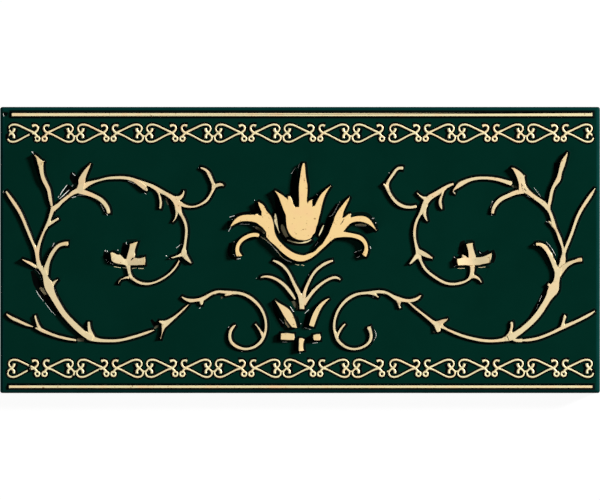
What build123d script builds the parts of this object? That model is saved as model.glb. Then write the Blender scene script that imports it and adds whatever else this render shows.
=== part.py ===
"""Glazed border tile: a pressed ceramic body with a vine-and-palmette ornament raised on its face.

Millimetres, +Z up. The tile lies on its back with its face upwards, and the origin is at the
middle of the back.
"""

import os

from build123d import *

# Body
tile_length = 200.0
tile_height = 95.4
body_thickness = 8.0
corner_radius = 0.8
face_edge_radius = 1.4
back_chamfer = 0.6

# Keying channels in the back, which take the adhesive
key_depth = 0.7
key_width = 5.0
key_pitch = 10.0
key_rim = 9.0

# Relief heights above the face, and how far the sloping sides run out at its foot.
# Leaves and barbs leave their stem at its own height and rise to these at their tips.
palmette_relief = 1.8
leaf_relief = 1.5
barb_relief = 1.1
trunk_relief = 1.0
stem_relief = 0.8
line_relief = 0.6
slope_run = 0.45
relief_root = 0.2

# The ornament is drawn in squares of a sheet, counted from its upper left corner.
# The face fills these columns and rows of the sheet.
face_left = 0.35
face_right = 599.75
face_top = 107.0
face_bottom = 393.0

# A stroke is a list of (column, row, width) along its middle, in squares. Leaves run from base to tip.
LINES = {
    "upper_line": [(11, 114.6, 3.8), (592, 114.6, 3.8)],
    "lower_line": [(9.5, 386.7, 3.3), (592, 386.7, 3.3)],
}

PALMETTE = {
    "crown_bowl": [
        (301.5, 239.8, 8), (301.7, 237, 20), (302, 230, 29.3),
        (302.5, 222, 33), (303, 213, 35.5), (302.5, 206.5, 38.5),
    ],
    "crown_left_point": [(290, 212, 10), (285.5, 203.5, 8), (281.5, 197.5, 5), (275, 191, 0.4)],
    "crown_left_tooth": [(291.5, 210, 7), (290.5, 203, 4.5), (288.5, 195.3, 0.8)],
    "crown_spike": [
        (303, 210, 8), (303, 199, 7.8), (303.2, 186, 8.6),
        (303, 176, 5.6), (303.3, 169, 4), (303.7, 163.7, 1.8),
    ],
    "crown_right_tooth": [(309.5, 208, 6), (310.5, 203, 3.5), (312.3, 198.8, 0.8)],
    "crown_right_point": [
        (315.5, 212, 10), (319.5, 203, 6), (322.5, 196, 4.5), (326, 191, 2.6), (330, 186.5, 0.6),
    ],
    "collar": [
        (258.5, 202.5, 1.2), (263.5, 209.5, 6.5), (267, 218, 9.5), (269, 226, 10), (271.5, 234, 7.5),
        (276.5, 242, 6), (283.5, 249.5, 6.2), (291, 255, 6.6), (300, 258, 7), (309, 255.7, 6.4),
        (317, 249.7, 6), (325, 240.5, 7), (332, 230, 9.5), (337, 219.5, 8.5), (341.8, 209.6, 4.9),
        (346.2, 202.4, 3), (350, 197, 0.5),
    ],
    "left_hook": [
        (265, 221, 9), (254, 218.6, 7), (246, 218, 6.4),
        (240, 219.2, 5.6), (235, 222.3, 3.6), (231, 226.3, 0.8),
    ],
    "left_hook_tooth": [(257.5, 217.5, 4), (255.8, 213.3, 1)],
    "left_curl": [
        (258.7, 235.4, 3.6), (253, 234.9, 4), (247, 236.8, 3.8), (241.5, 240.5, 3.7),
        (238, 246, 3.6), (237.5, 251, 3.9), (239.5, 255.8, 5.4),
    ],
    "right_hook": [
        (336, 231, 11), (343, 224, 10.5), (350, 220.4, 6), (357, 218.9, 5.4),
        (364, 219.4, 6), (369.5, 222.6, 4.4), (373.3, 226.8, 2), (375.8, 230, 0.5),
    ],
    "right_hook_tooth": [(345, 220.5, 4.5), (348.2, 216.3, 3), (351, 213, 0.9)],
    "right_curl": [
        (334, 233, 8), (343, 234.3, 5.6), (353, 235.6, 4.2), (359.5, 237.6, 4.4), (363.8, 241.2, 4),
        (365.9, 246, 3.5), (365.8, 251, 4), (363.8, 255.3, 5),
    ],
}

SPRAY = {
    "inner_left": [
        (273.2, 260.6, 1.6), (278.5, 262.7, 2.7), (285, 267.8, 2.8), (290, 275, 2.7),
        (294, 283.5, 3), (298, 291, 3.6), (300.5, 298, 4.2), (302, 308.8, 5),
    ],
    "inner_right": [
        (332.3, 260.7, 1.8), (327, 262.6, 2.8), (320, 266.8, 2.9), (313.5, 273.4, 2.7),
        (309, 281.5, 2.8), (305.5, 289.5, 3.1), (303.4, 298, 3.6), (302, 308.8, 4.6),
    ],
    "outer_left": [
        (261, 277.4, 1.2), (266, 276.4, 2.2), (272, 277.4, 2.6), (279, 280.8, 2.9),
        (285, 285.6, 3.2), (290, 291.6, 3.3), (295, 299, 1.8),
    ],
    "outer_right": [
        (340, 279.6, 1.2), (336, 277.5, 2.6), (329, 279, 2.5), (323, 282.5, 2.7),
        (316, 288.3, 3.2), (309.5, 295.5, 3.8), (303.5, 304.5, 4.4),
    ],
}

SPRAY_LEAVES = {
    "left_leaf": [
        (275.3, 300.6, 0.5), (281, 306.3, 4.2), (286.6, 312.4, 8), (291, 320, 7.6), (294.3, 327.2, 5.8),
    ],
    "right_leaf": [
        (329.2, 298, 0.8), (324, 302, 2.8), (319.5, 307, 4.2), (315.6, 314, 5.2), (311.5, 325.8, 5.2),
    ],
    "left_cross": [(280.8, 336.2, 6), (294, 336.8, 6)],
    "right_cross": [(313.5, 337.4, 4.8), (320, 336.9, 6.2)],
    "cross_stem": [(302, 338.6, 5.5), (301.3, 343, 4.2), (301.5, 350.6, 5)],
}

PALMETTE_TRIM = {
    "left_sliver": [(275.3, 213.8, 0.8), (275.7, 219.5, 3), (276.8, 225, 2.2), (279.4, 232.6, 0.9)],
    "right_sliver": [(323.6, 225.2, 0.9), (321.5, 230, 2), (318.9, 235.6, 1.2)],
    "crown_rim": [
        (287.5, 240, 1.5), (293.5, 242, 1.5), (301, 242.9, 1.5), (307, 241.9, 1.4), (311, 239.9, 0.7),
    ],
}

LEFT_VINE = {
    "twig": [
        (6.8, 191.6, 1.8), (12, 199.2, 3.2), (19.4, 210.4, 3.3), (26, 224.6, 2.9),
        (32.2, 240, 2.7), (36.2, 250.5, 2.4), (38, 258, 3.4), (40.5, 268, 4.6),
    ],
    "stem": [
        (53.6, 207.6, 4.6), (51.6, 214.5, 3.2), (49.6, 220.5, 2.8), (46, 228.2, 2.3), (43, 235, 2.3),
        (39.8, 244, 2.8), (38.2, 252, 3.2), (38.4, 260, 3.6), (40.4, 266.5, 4), (44, 272, 5.4),
    ],
    "stem_spur": [(48, 226, 2), (52.5, 222.6, 2.4), (58.6, 218.6, 2.2)],
    "bud": [
        (51.8, 205.4, 1), (50.4, 196.5, 3.3), (49, 189.3, 3.6), (45.4, 182, 4), (43, 175.5, 3.8),
        (41.9, 169, 4.3), (41.2, 162.8, 6),
    ],
    "bud_tip": [(41, 164, 5), (38.8, 159.2, 3), (35, 155, 0.5)],
    "bud_barb": [(41, 163.5, 4.5), (44.8, 161, 0.8)],
    "rise": [
        (52.6, 208.8, 4.4), (57.6, 203.6, 4), (64, 198.6, 3.4),
        (70, 194.7, 3.4), (76, 191.4, 4.6), (81.5, 187, 7),
    ],
    "spike": [(79.6, 191.8, 7.4), (81.8, 181.5, 7), (84.8, 174.5, 5), (88, 169, 3.2), (90.8, 164.6, 0.6)],
    "hanging_branch": [
        (79, 191.4, 4.4), (88, 193.5, 4.6), (95, 196.2, 4), (101, 199.6, 4.1),
        (105.6, 204.3, 4.1), (108.2, 209, 3.8), (109, 213.2, 3.4),
    ],
    "arch": [
        (82.8, 187.2, 6), (88, 184.3, 4.6), (94, 182, 2.9), (100, 180.3, 2), (106, 178.7, 2.3),
        (113, 177.9, 2.8), (121, 177.7, 3), (129, 178.5, 3.2), (137, 180.8, 3.4), (146, 183.7, 3),
        (153, 186.5, 3.6), (160, 190.5, 3.8), (167, 194.3, 3.8), (173.2, 198.4, 5), (177, 203, 6),
        (179, 208, 5.4), (180.6, 212.6, 3.4), (183.4, 218, 2.8), (185.8, 224, 2.6), (186.7, 231, 2.6),
        (186.2, 238, 2.6), (185.2, 245, 2.6), (183.8, 252, 4.6),
    ],
    "arch_leaf": [(131, 179.4, 2), (137.5, 182.6, 3.6), (143, 186.4, 4.4), (147.4, 190.4, 2.4)],
    "arch_drop": [(157.4, 191, 1.2), (159.6, 195.5, 1.7), (161, 202, 2.3), (160.3, 208.4, 1.9)],
    "arch_thorn": [(175.5, 198.4, 5), (180.2, 197.8, 4), (183, 194.8, 2.4), (184, 191, 1.1)],
    "arch_foot": [(176.6, 207, 2.4), (176.9, 212.6, 2.2), (175.9, 217.8, 1.6), (173, 221.8, 0.6)],
    "tendril": [
        (178, 202.8, 4), (184, 205.5, 3.2), (190, 206.9, 2.1), (195.5, 206.5, 1.9), (201, 204.4, 2.1),
        (206, 201.2, 2.6), (210, 196.2, 2.4), (212.9, 190, 2.4), (213.5, 185.5, 2.8), (212.2, 181, 2.9),
        (210.2, 176.5, 3.1), (208.2, 172.4, 2.9), (205, 169.6, 2.3), (201, 168, 1.6),
    ],
    "tendril_leaf": [(213.3, 188.6, 3), (216.8, 185.7, 3), (220, 184.7, 3.2), (223.8, 185.6, 0.5)],
    "knot_left_leaf": [(183.6, 253.6, 4), (178.5, 255.8, 2.1), (171.8, 257.6, 0.8)],
    "knot_right_leaf": [(183.8, 251.5, 4.4), (186, 257, 4.6), (188.5, 260, 3.2), (191.2, 263, 0.8)],
    "flower_stem": [
        (179.3, 261, 1.3), (174.9, 268.4, 1.9), (168.4, 274.9, 1.9), (160.3, 280.1, 2), (154, 282.7, 2),
        (147.5, 283.8, 2.4), (141, 283, 2.7), (135, 280, 2.6), (131.2, 276.4, 3), (129.4, 271, 3.2),
        (128.6, 264, 4.4),
    ],
    "flower_stem_hair": [(129, 277.6, 2.4), (124, 278.4, 1), (120.4, 280.4, 0.8), (118.8, 283.6, 0.5)],
    "flower_left_lobe": [(129, 262.4, 8), (121, 260.6, 6.6), (115.8, 258.4, 8.4), (112, 252.8, 2.4)],
    "flower_middle_lobe": [(129.4, 264, 6.5), (131.4, 255, 7), (132.6, 249, 6), (134.2, 243.2, 7.4)],
    "flower_right_lobe": [(128, 261.6, 8), (136.5, 261.6, 6.8), (140.5, 261.6, 6.8), (145, 260.6, 8.8)],
    "trunk": [
        (43.8, 270, 5.4), (46, 277, 5.2), (49, 285.5, 8.4), (52.6, 294, 6.8), (57.4, 302.6, 5.8),
        (63.4, 312.2, 5.5), (70.4, 320.4, 5.6), (78.6, 328.4, 6), (86, 334.6, 5.6), (93, 338.2, 5.4),
    ],
    "base_stem": [
        (86, 334.8, 4.6), (92, 338, 5.4), (99, 340, 3.8), (107, 340.6, 3), (115, 340.6, 2.9),
        (123, 339.6, 2.7), (132, 337.3, 2.8), (142, 334.3, 2.7), (149, 331.8, 2.4), (153.8, 330.2, 1),
    ],
    "trunk_barb": [(50.5, 287, 7), (54, 283.2, 3), (58, 279.8, 0.7)],
    "trunk_thorn": [(89.3, 322.2, 2.6), (89.7, 328, 3), (91.2, 333, 4), (93.5, 338, 5)],
    "branch": [
        (46.3, 275, 5.4), (47.2, 267, 4.8), (49.3, 260.5, 3.6), (52, 254.6, 3.7), (55.6, 249.2, 3.5),
        (60, 245.2, 3.4), (64, 243.9, 3.6), (68.3, 243.7, 4.6),
    ],
    "side_leaf": [(36.7, 267.9, 1.3), (32, 263.9, 3), (28, 261.9, 2.4), (23.2, 259.5, 0.8)],
    "low_twig_end": [
        (7.2, 313.9, 1), (11, 316.9, 2.8), (20, 321.3, 2.9), (27, 324.4, 2.6), (33.2, 326.5, 1),
    ],
    "low_twig": [
        (35.8, 327.8, 0.8), (42, 330.4, 2.6), (50, 333.5, 2.8),
        (58, 336.2, 2.7), (66, 338.2, 2.7), (76, 340, 2),
    ],
    "low_thorn": [(35.7, 315.6, 1.4), (37.2, 321, 1.9), (39.2, 326, 2.6), (42.4, 330.2, 2.6)],
    "link": [
        (188.6, 304.6, 0.8), (183, 310, 1.9), (177, 315.4, 2.3), (170, 320.8, 4), (163, 325.4, 7),
    ],
    "link_barb": [(165, 323.2, 4), (159.4, 321.2, 0.6)],
    "link_foot": [(164, 325.4, 4.5), (162.8, 331, 1.4), (160.9, 338.6, 0.8)],
    "scroll": [
        (182.2, 296.8, 1), (186, 299.2, 2.6), (191, 300.4, 3.3), (197, 299.9, 3), (202, 299, 3.7),
        (207, 296.4, 3.4), (212, 293.4, 2.7), (218, 291.6, 2.5), (225, 291.9, 2.8), (232, 292.4, 3),
        (240, 293.2, 2.9), (247, 295.6, 3), (254, 300.3, 3), (260, 306.8, 2.7), (264.2, 314.8, 2.5),
        (266, 323, 2.3), (265.6, 331, 2.5), (262.6, 339, 2.9), (257, 345.2, 2.7), (250, 348.3, 2.5),
        (244, 348.7, 2.6), (237, 346.4, 3), (231.6, 342, 3), (229.9, 336, 3), (231.2, 330, 3),
        (235, 325.4, 1.6),
    ],
    "scroll_spur": [(232, 293.2, 2.6), (225.2, 295.2, 1.2)],
    "scroll_thorn": [(201.6, 300, 4), (201.5, 304.8, 0.8)],
    "scroll_bud": [(255.4, 323.9, 1.2), (259.6, 329.4, 1.6), (263, 336.4, 2.2)],
}

RIGHT_VINE = {
    "twig": [
        (594, 188.9, 1), (590.6, 194.6, 3), (584, 204.4, 3.3), (578.4, 214, 3.1), (574.4, 224, 2.9),
        (571, 234, 2.8), (567.2, 243.5, 3), (563.8, 252, 3.2), (562, 261, 5),
    ],
    "stem": [
        (548.4, 207.4, 5.4), (550.4, 214.5, 3), (552.4, 220.6, 3.1), (554.3, 226.8, 2.9), (557, 232.8, 2.5),
        (559.4, 239, 3.2), (561.6, 245.4, 2.4), (563, 252.5, 3), (562.6, 260, 5), (560.4, 268, 6),
    ],
    "stem_spur": [(553.6, 226, 3), (550.6, 223.6, 2.2), (548, 221.4, 0.9)],
    "bud": [
        (549.4, 207, 3), (550, 199, 3.1), (551.2, 192, 3.2), (553.8, 185.6, 3.4), (557.8, 179.4, 4.6),
        (559.4, 173.4, 3.7), (561.2, 167, 4.6), (563, 161.4, 4.6), (565.2, 156.6, 2.5), (567.6, 152.3, 0.6),
    ],
    "rise": [
        (548.4, 208.4, 5.6), (542.4, 203, 4.8), (536, 198.6, 4.3), (530, 194.2, 4.4), (524, 189, 6.6),
    ],
    "spike": [
        (522.4, 191.4, 8.6), (521.6, 184, 6.6), (520, 177.4, 7), (516.4, 172.2, 4.6), (510.8, 167, 0.6),
    ],
    "spike_barb": [(520.6, 180, 5), (523.9, 175.9, 0.8)],
    "hanging_branch": [
        (523, 191.6, 4.4), (514, 193.1, 4.4), (507, 196.1, 4), (500, 199.7, 4.1),
        (495.6, 204.2, 3.8), (493, 209, 3.3), (492.2, 213.4, 2.8),
    ],
    "arch": [
        (511, 183.6, 4.6), (505, 181.7, 3.8), (498, 179.7, 3.3), (490, 178.4, 3), (481, 178.1, 3),
        (472, 179.2, 3.3), (465, 181.7, 4), (459.4, 184.8, 4.6), (455, 188.6, 2.2), (453, 191.2, 1),
        (454.6, 193.4, 1.4),
    ],
    "arch_stem": [
        (452.8, 184.2, 2.2), (447, 186.5, 3), (441, 190.2, 3.7), (435, 194.2, 4.4), (429, 198.2, 5.4),
        (425.4, 203, 5.2), (422.8, 208.4, 4.4), (420.2, 213.6, 2.7), (417, 219.6, 2.6), (415, 226, 2.6),
        (414.2, 233, 2.7), (414.8, 240, 2.5), (416.4, 247, 3), (418.4, 253, 5),
    ],
    "arch_thorn": [(426.4, 199.4, 4), (420.6, 196.3, 1.4), (416.8, 192.8, 0.6)],
    "arch_drop": [
        (443.4, 190.4, 2), (441.3, 196, 2.1), (439.8, 202, 2.9), (440.4, 205.5, 2.8), (441.4, 209, 1),
    ],
    "arch_foot": [(424.8, 206, 4), (424.4, 213, 2.9), (425, 217, 2.5), (427, 221, 0.6)],
    "tendril": [
        (415.9, 206.4, 3), (408, 207.3, 2.9), (401.4, 205.7, 3.3), (395, 201.2, 3.1), (390.6, 195.4, 2.8),
        (387.8, 190, 3), (387.2, 184.6, 2.9), (389.5, 179.1, 2.6), (392.8, 174.6, 2.8), (396, 170, 2.6),
        (402.4, 168.4, 3.2),
    ],
    "tendril_leaf": [(388, 189.4, 3), (385.6, 186.4, 1.6), (383.2, 184.1, 0.6)],
    "knot_right_leaf": [(417.6, 250.6, 4), (424.5, 254.4, 4.4), (431.6, 258, 1.6)],
    "knot_left_leaf": [(418.4, 254, 4.4), (414, 259, 3.2), (409.6, 263.4, 0.9)],
    "flower_stem": [
        (418.8, 253, 4.6), (421, 262, 2.6), (424.6, 268.4, 2.6), (430, 273.8, 2.7), (437.5, 279, 2.7),
        (445.5, 283, 2.6), (453.5, 284, 2.5), (461.5, 282.6, 2.4), (467.6, 279.6, 2.1), (471, 274.4, 3.3),
        (472, 266, 4.6),
    ],
    "flower_stem_hair": [(471.2, 276.4, 3.6), (476.6, 277.5, 2.6), (480.8, 282.4, 0.7)],
    "flower_left_lobe": [(473, 261.4, 8), (465.4, 261.4, 7.2), (461, 261.6, 6.8), (457.2, 262, 6.4)],
    "flower_left_tooth": [(465.6, 260, 5), (462, 254.8, 0.9)],
    "flower_middle_lobe": [(472, 264, 6.5), (471.6, 255, 6.6), (470.2, 249, 5.6), (469, 243.8, 7)],
    "flower_right_lobe": [(471, 261.4, 8), (478.6, 260.9, 7.4), (485, 259.8, 7.6), (490.6, 257.2, 9)],
    "trunk": [
        (557.2, 268, 8), (556.8, 276, 5.6), (555.6, 282, 6.4), (553.2, 288.6, 10.4), (548.8, 296.4, 7),
        (544, 304.6, 5.8), (538, 313.6, 5.7), (531, 321.6, 5.5), (523, 328.6, 5.4), (515.6, 334, 5.6),
        (508, 338, 4.8),
    ],
    "base_stem": [
        (515.6, 334.4, 4.6), (509, 337.8, 5), (501, 339.9, 3.4), (493, 340.8, 2.9), (484, 340.5, 2.9),
        (473, 338.6, 2.9), (462, 335.6, 2.7), (452, 331.7, 2.5), (444, 327.8, 2.4), (438.4, 324.4, 6),
    ],
    "trunk_barb": [(552.6, 287.4, 6), (547.2, 284.2, 1)],
    "trunk_thorn": [(511, 322.2, 2.6), (511.3, 327, 2.6), (509.8, 332, 2.8), (507.4, 337.4, 4.6)],
    "branch": [
        (557, 272, 6), (554, 265.4, 4.4), (550.8, 258, 4), (547.6, 251.6, 4.2), (544, 246.8, 4.4),
        (540, 244.6, 3.4), (535.8, 244.4, 3),
    ],
    "side_leaf": [
        (557.6, 275, 6), (561.4, 269.6, 5.4), (566, 265.2, 4.3),
        (571, 262.3, 3.4), (576, 260.6, 3), (580.8, 259.7, 3.9),
    ],
    "low_twig": [
        (519.6, 340.1, 1.2), (526, 340, 2.7), (534, 338.9, 2.8), (543, 336.2, 2.8), (552, 332.4, 2.8),
        (561, 328.1, 3), (570, 324, 3), (580, 319.2, 2.9), (589, 314.4, 2.7), (593.8, 311.2, 1.2),
    ],
    "low_thorn": [(564.2, 315.2, 1.8), (563.4, 320, 2.3), (561.6, 327, 2.8)],
    "link": [
        (439, 325.4, 7), (432.8, 321.8, 3.2), (426.8, 317.2, 2.4),
        (419.8, 311.8, 2.3), (413.4, 306.6, 2.1), (408.6, 302, 1.4),
    ],
    "link_barb": [(438, 323.6, 5), (447, 318.9, 0.7)],
    "link_foot": [(437, 325, 6), (438, 331.6, 2.6)],
    "scroll": [
        (420.4, 295.4, 1), (416.8, 298.6, 2.8), (411.6, 300.4, 3.2), (405, 300.3, 3), (398.6, 299, 4.2),
        (393, 296.4, 3.2), (387, 293, 2.7), (380, 291.6, 3), (373, 292.1, 2.9), (366, 292.9, 2.6),
        (358, 293.9, 2.7), (350.6, 297, 3), (344, 302.2, 2.9), (338.7, 309.2, 2.6), (335.4, 317, 2.4),
        (334.1, 325, 2.5), (335, 333, 2.4), (337.8, 340, 2.8), (342.6, 345, 2.7), (349, 348.2, 2.4),
        (356, 348.8, 2.3), (363, 346.7, 2.5), (369, 342, 2.8), (371, 336, 3), (370.2, 331, 3.2),
        (368.6, 326.9, 4.2),
    ],
    "scroll_spur": [(368, 293, 2.6), (374, 294.4, 2), (378, 297, 1.2)],
    "scroll_thorn": [(398.4, 299.6, 5), (399, 304.8, 2), (399.5, 308, 1.2)],
    "scroll_bud": [(344.8, 324.2, 1.4), (341, 328.6, 1.9), (337.4, 336, 2.3)],
}

# Strokes of the vines that rise from base to tip, and the ends of a bud, which lie at a leaf's full height.
# The others are stems.
VINE_LEAVES = (
    "bud", "spike", "branch", "side_leaf", "flower_left_lobe", "flower_middle_lobe", "flower_right_lobe",
)
VINE_BARBS = (
    "spike_barb", "arch_leaf", "tendril_leaf", "knot_left_leaf", "knot_right_leaf", "flower_left_tooth",
    "trunk_barb", "link_barb", "link_foot",
)
BUD_ENDS = ("bud_tip", "bud_barb")

column_size = tile_length / (face_right - face_left)
row_size = tile_height / (face_bottom - face_top)
middle_column = (face_left + face_right) / 2
middle_row = (face_top + face_bottom) / 2


def on_face(column, row):
    """Where a square of the drawing lies on the face."""
    return Vector((column - middle_column) * column_size, (middle_row - row) * row_size)


def outline(middle, half_widths, spread, height):
    """The face round a stroke, widened and set at the height that spread and height give for a point."""
    line = Spline(*middle) if len(middle) > 2 else Line(*middle)
    last = len(middle) - 1
    sides = ([], [])
    for i, (point, half) in enumerate(zip(middle, half_widths)):
        along = line.tangent_at(point)
        aside = Vector(-along.Y, along.X)
        reach = spread(point) if i == last else -spread(point) if i == 0 else 0
        for side, way in zip(sides, (1, -1)):
            edge = point + along * reach + aside * way * (half + spread(point))
            side.append(Vector(edge.X, edge.Y, height(edge)))
    edges = [Spline(*side) if len(side) > 2 else Line(*side) for side in sides]
    ends = [Line(sides[0][i], sides[1][i]) for i in (0, -1)]
    return make_face(edges + ends)


def ridge(stroke, base_relief, tip_relief):
    """A raised stroke with sloping sides, rooted a little way into the body.

    Its crest is a flat that slopes from one relief over the first point to the other over the last.
    """
    middle = [on_face(column, row) for column, row, _ in stroke]
    half_widths = [width * column_size / 2 for _, _, width in stroke]
    chord = middle[-1] - middle[0]

    def relief(point):
        share = (point - middle[0]).dot(chord) / chord.dot(chord)
        return base_relief + (tip_relief - base_relief) * share

    def foot_spread(point):
        return slope_run * (relief(point) + relief_root) / relief(point)

    foot = outline(middle, half_widths, foot_spread, lambda point: body_thickness - relief_root)
    crest = outline(middle, half_widths, lambda point: 0, lambda point: body_thickness + relief(point))
    return loft([foot, crest], ruled=True)


def tile_body():
    """The pressed body, with rounded edges round the face and keying channels in the back."""
    body = extrude(RectangleRounded(tile_length, tile_height, corner_radius), body_thickness)
    body = fillet(body.edges().group_by(Axis.Z)[-1], face_edge_radius)
    body = chamfer(body.edges().group_by(Axis.Z)[0], back_chamfer)
    channel_length = tile_length - 2 * key_rim
    count = int((tile_height - 2 * key_rim + key_pitch - key_width) // key_pitch)
    channels = Sketch() + GridLocations(0, key_pitch, 1, count) * SlotOverall(channel_length, key_width)
    return body - extrude(channels, key_depth)


def vine_relief(name):
    """The relief of a vine's stroke at its first and at its last point."""
    if name in VINE_LEAVES:
        return stem_relief, leaf_relief
    if name in VINE_BARBS:
        return stem_relief, barb_relief
    if name in BUD_ENDS:
        return leaf_relief, leaf_relief
    if name == "trunk":
        return trunk_relief, trunk_relief
    return stem_relief, stem_relief


def ornament():
    """Every raised stroke of the face, at the height of its kind."""
    level_kinds = [
        (LINES, line_relief),
        (PALMETTE, palmette_relief),
        (PALMETTE_TRIM, line_relief),
        (SPRAY, stem_relief),
        (SPRAY_LEAVES, leaf_relief),
    ]
    level = [ridge(stroke, relief, relief) for kind, relief in level_kinds for stroke in kind.values()]
    vines = (LEFT_VINE, RIGHT_VINE)
    rising = [ridge(stroke, *vine_relief(name)) for vine in vines for name, stroke in vine.items()]
    return level + rising


def border_tile():
    """The whole tile as the single fired piece that it is."""
    return tile_body().fuse(*ornament())


if __name__ == "__main__":
    os.makedirs("parts", exist_ok=True)
    export_step(border_tile(), "parts/border_tile.step")
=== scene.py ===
import math

import bpy
from mathutils import Matrix, Vector


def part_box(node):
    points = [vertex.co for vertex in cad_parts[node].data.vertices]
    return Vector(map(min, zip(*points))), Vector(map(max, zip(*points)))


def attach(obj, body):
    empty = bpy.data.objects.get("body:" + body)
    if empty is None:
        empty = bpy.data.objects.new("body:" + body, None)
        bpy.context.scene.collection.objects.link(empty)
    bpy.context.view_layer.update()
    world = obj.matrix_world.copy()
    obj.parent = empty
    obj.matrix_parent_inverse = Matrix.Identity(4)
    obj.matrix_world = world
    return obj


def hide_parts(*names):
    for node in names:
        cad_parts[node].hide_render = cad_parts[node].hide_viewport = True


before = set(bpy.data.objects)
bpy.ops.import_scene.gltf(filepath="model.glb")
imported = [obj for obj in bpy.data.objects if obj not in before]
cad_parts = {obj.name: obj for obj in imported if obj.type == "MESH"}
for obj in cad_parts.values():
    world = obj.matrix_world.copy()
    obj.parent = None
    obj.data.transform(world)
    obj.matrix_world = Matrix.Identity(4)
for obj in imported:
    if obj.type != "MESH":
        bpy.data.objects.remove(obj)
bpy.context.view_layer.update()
tileLow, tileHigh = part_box("border_tile")
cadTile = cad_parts["border_tile"]
mm = 0.001
hair = 0.01 * mm  # heights closer than this count as the same

# the photograph's frame, and the columns and rows that the face fills in it
photo = {"width": 600, "height": 500, "left": 0.35, "right": 599.75, "top": 107.0, "bottom": 393.0}
middleColumn = (photo["left"] + photo["right"]) / 2
middleRow = (photo["top"] + photo["bottom"]) / 2
square = (tileHigh.x - tileLow.x) / (photo["right"] - photo["left"])  # one pixel on the face, in metres

ground = {
    "levelFrom": 0.99,  # upward part of a level face's normal
    "digits": 5,  # of a height in metres
}


def findGround(node):
    areas = {}
    for face in node.data.polygons:
        if face.normal.z > ground["levelFrom"]:
            level = round(face.center.z, ground["digits"])
            areas[level] = areas.get(level, 0) + face.area
    return max(areas, key=areas.get)


fieldZ = findGround(cadTile)  # the flat ground between the raised parts
rimZ = max(v.co.z for v in cadTile.data.vertices if v.co.x > tileHigh.x - hair)


def onFace(column, row):
    return (column - middleColumn) * square, (middleRow - row) * square


def pickOnly(*things):
    bpy.ops.object.select_all(action="DESELECT")
    for thing in things:
        thing.select_set(True)
    bpy.context.view_layer.objects.active = things[0]


def newMaterial(name):
    material = bpy.data.materials.new(name)
    material.use_nodes = True
    nodes, links = material.node_tree.nodes, material.node_tree.links
    return material, nodes, links, nodes["Principled BSDF"]


def addNode(nodes, kind, **values):
    node = nodes.new(kind)
    for name, value in values.items():
        if name in node.inputs:
            node.inputs[name].default_value = value
        else:
            setattr(node, name, value)
    return node


def objectPlace(nodes):
    return addNode(nodes, "ShaderNodeTexCoord").outputs["Object"]


def heightOf(nodes, links, place):
    split = addNode(nodes, "ShaderNodeSeparateXYZ")
    links.new(place, split.inputs["Vector"])
    return split.outputs["Z"]


def climb(nodes, links, place, low, high):  # from 0 to 1 between two heights over the ground
    node = addNode(nodes, "ShaderNodeMapRange")
    node.inputs["From Min"].default_value = fieldZ + low
    node.inputs["From Max"].default_value = fieldZ + high
    links.new(heightOf(nodes, links, place), node.inputs["Value"])
    return node.outputs["Result"]


def ramp(nodes, links, source, stops):
    node = nodes.new("ShaderNodeValToRGB")
    elements = node.color_ramp.elements
    while len(elements) < len(stops):
        elements.new(0.5)  # its own place follows below
    for element, (place, colour) in zip(elements, stops):
        element.position = place
        element.color = (*colour, 1)
    links.new(source, node.inputs["Fac"])
    return node.outputs["Color"]


mixSockets = {"under": 6, "over": 7, "result": 2}  # a Mix node's colour sockets, which share their names


def mixColours(nodes, links, share, under, over):
    node = addNode(nodes, "ShaderNodeMix", data_type="RGBA")
    links.new(share, node.inputs["Factor"])
    for layer, colour in (("under", under), ("over", over)):
        socket = node.inputs[mixSockets[layer]]
        if isinstance(colour, tuple):
            socket.default_value = (*colour, 1)
        else:
            links.new(colour, socket)
    return node.outputs[mixSockets["result"]]


def noise(nodes, links, place, grain):
    node = addNode(nodes, "ShaderNodeTexNoise", Scale=grain["scale"], Detail=grain["detail"])
    links.new(place, node.inputs["Vector"])
    return node.outputs["Fac"]


def cloudy(nodes, links, place, grain, first, second):  # drifts from one colour to another
    drift = noise(nodes, links, place, grain)
    return ramp(nodes, links, drift, [(grain["from"], first), (grain["to"], second)])


def bumps(nodes, links, place, grain, shader):
    node = addNode(nodes, "ShaderNodeBump", Strength=grain["strength"], Distance=grain["depth"])
    links.new(noise(nodes, links, place, grain), node.inputs["Height"])
    links.new(node.outputs["Normal"], shader.inputs["Normal"])


glazeLook = {
    "green": (0.0003, 0.0206, 0.0135),
    "deep": (0.0001, 0.0184, 0.0118),
    "drift": {"scale": 60.0, "detail": 3.0, "from": 0.35, "to": 0.65},
    "waves": {"scale": 250.0, "detail": 1.0, "strength": 0.05, "depth": 0.4 * mm},
    "roughness": 0.08,
}


def makeGlaze():
    material, nodes, links, shader = newMaterial("greenGlaze")
    place = objectPlace(nodes)
    colour = cloudy(nodes, links, place, glazeLook["drift"], glazeLook["deep"], glazeLook["green"])
    links.new(colour, shader.inputs["Base Color"])
    shader.inputs["Roughness"].default_value = glazeLook["roughness"]
    bumps(nodes, links, place, glazeLook["waves"], shader)
    return material


rimLook = {
    "green": (0.0004, 0.0215, 0.0180),
    "thin": (0.0006, 0.0255, 0.0215),  # where the glaze has run thin over the edge
    "biscuit": (0.66, 0.60, 0.50),
    "drift": {"scale": 150.0, "detail": 3.0, "from": 0.35, "to": 0.65},
    "roughness": 0.6,
    "shine": 0.01,
    "glazeEnds": 1.3 * mm,  # above the back
    "wander": 1.2 * mm,
}


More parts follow.
